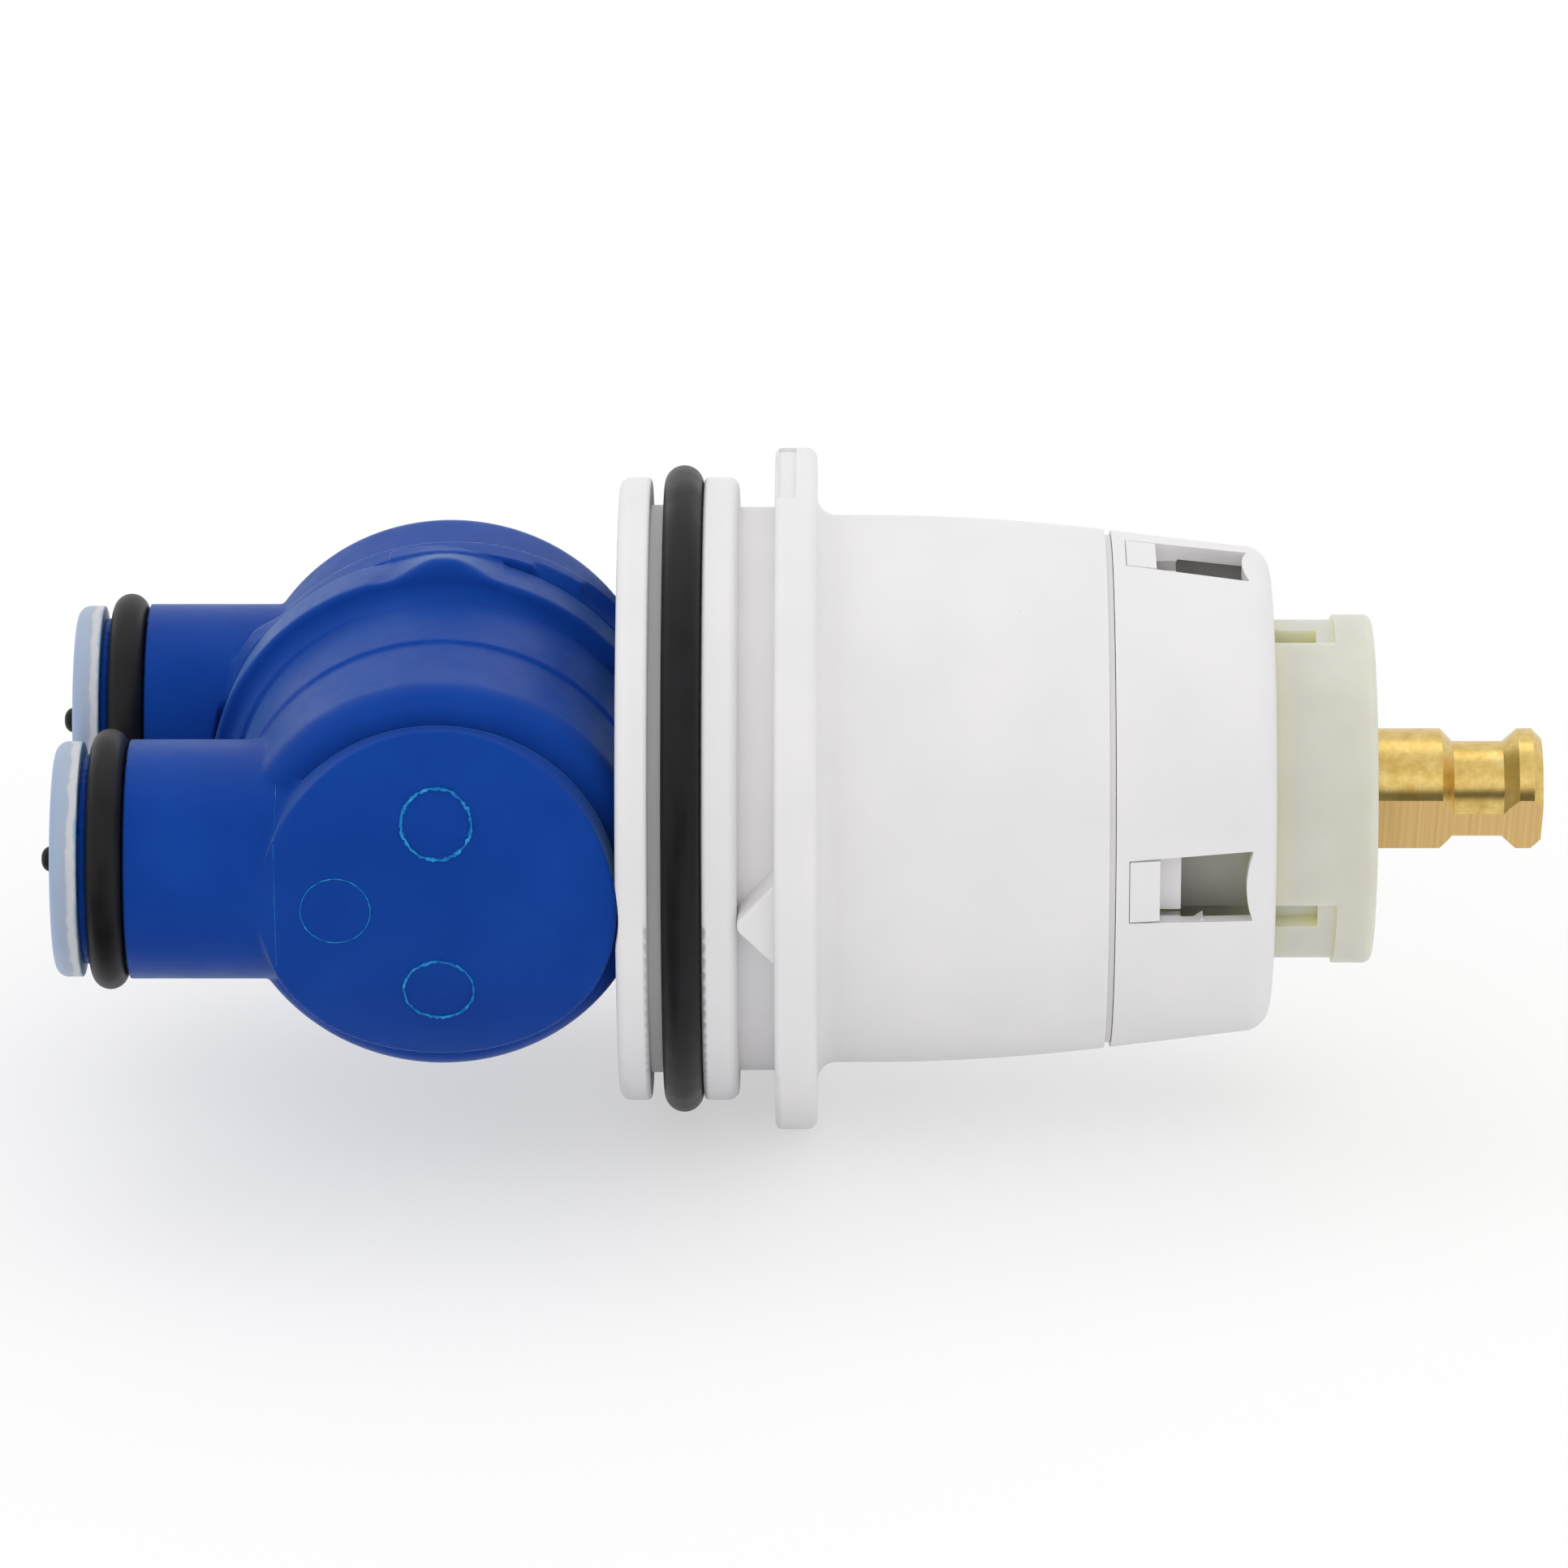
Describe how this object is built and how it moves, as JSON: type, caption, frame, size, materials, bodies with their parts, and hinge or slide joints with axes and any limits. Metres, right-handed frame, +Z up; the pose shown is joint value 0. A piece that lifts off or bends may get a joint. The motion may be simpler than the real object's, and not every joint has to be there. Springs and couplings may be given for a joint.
{
  "type": "shower valve cartridge",
  "caption": "Pressure balancing shower valve cartridge: plug-in balancing unit with inlets, keyed flanged body with seal, turning sleeve for temperature and stem for volume.",
  "frame": {"origin": "centre of the clamping flange's seating face, on the long axis", "axes": "+X along the long axis towards the brass stem, Y across through the two inlets, +Z up"},
  "size_m": [0.1105, 0.0508, 0.0508],
  "materials": {
    "white_body": "moulded, satin",
    "blue_housing": "moulded, glossy",
    "cage_plastic": "translucent pale blue",
    "nylon": "natural nylon, waxy",
    "seal_rubber": "black, lightly greased",
    "disc_ceramic": "lapped",
    "sleeve_plastic": "glass filled",
    "spool_steel": "ground",
    "stem_brass": "turned, bright"
  },
  "bodies": {
    "valve": {"valve_body": "white_body", "front_cap": "white_body", "body_oring": "seal_rubber", "housing_left": "blue_housing", "housing_right": "blue_housing", "inlet_oring_left": "seal_rubber", "inlet_oring_right": "seal_rubber", "check_cage_left": "cage_plastic", "check_cage_right": "cage_plastic", "check_umbrella_left": "seal_rubber", "check_umbrella_right": "seal_rubber", "balance_sleeve": "sleeve_plastic", "sleeve_orings": "seal_rubber", "port_oring_left": "seal_rubber", "port_oring_right": "seal_rubber", "disc_gasket": "seal_rubber", "fixed_disc": "disc_ceramic", "thrust_washer": "nylon"},
    "spool": {"balance_spool": "spool_steel"},
    "temperature": {"temperature_stem": "nylon", "temperature_disc": "disc_ceramic", "temperature_oring": "seal_rubber"},
    "volume": {"volume_stem": "stem_brass", "volume_disc": "disc_ceramic", "volume_stop_ring": "nylon", "volume_orings": "seal_rubber", "stem_clip": "spool_steel"}
  },
  "joints": [
    {"name": "spool_slide", "type": "slide", "parent": "valve", "child": "spool", "axis": [0, 1, 0], "range_m": [-0.0015, 0.0015]},
    {"name": "temperature_turn", "type": "hinge", "parent": "valve", "child": "temperature", "pos_m": [0, 0, 0], "axis": [1, 0, 0], "range_deg": [-50, 50]},
    {"name": "volume_turn", "type": "hinge", "parent": "valve", "child": "volume", "pos_m": [0, 0, 0], "axis": [1, 0, 0], "range_deg": [0, 90]}
  ]
}
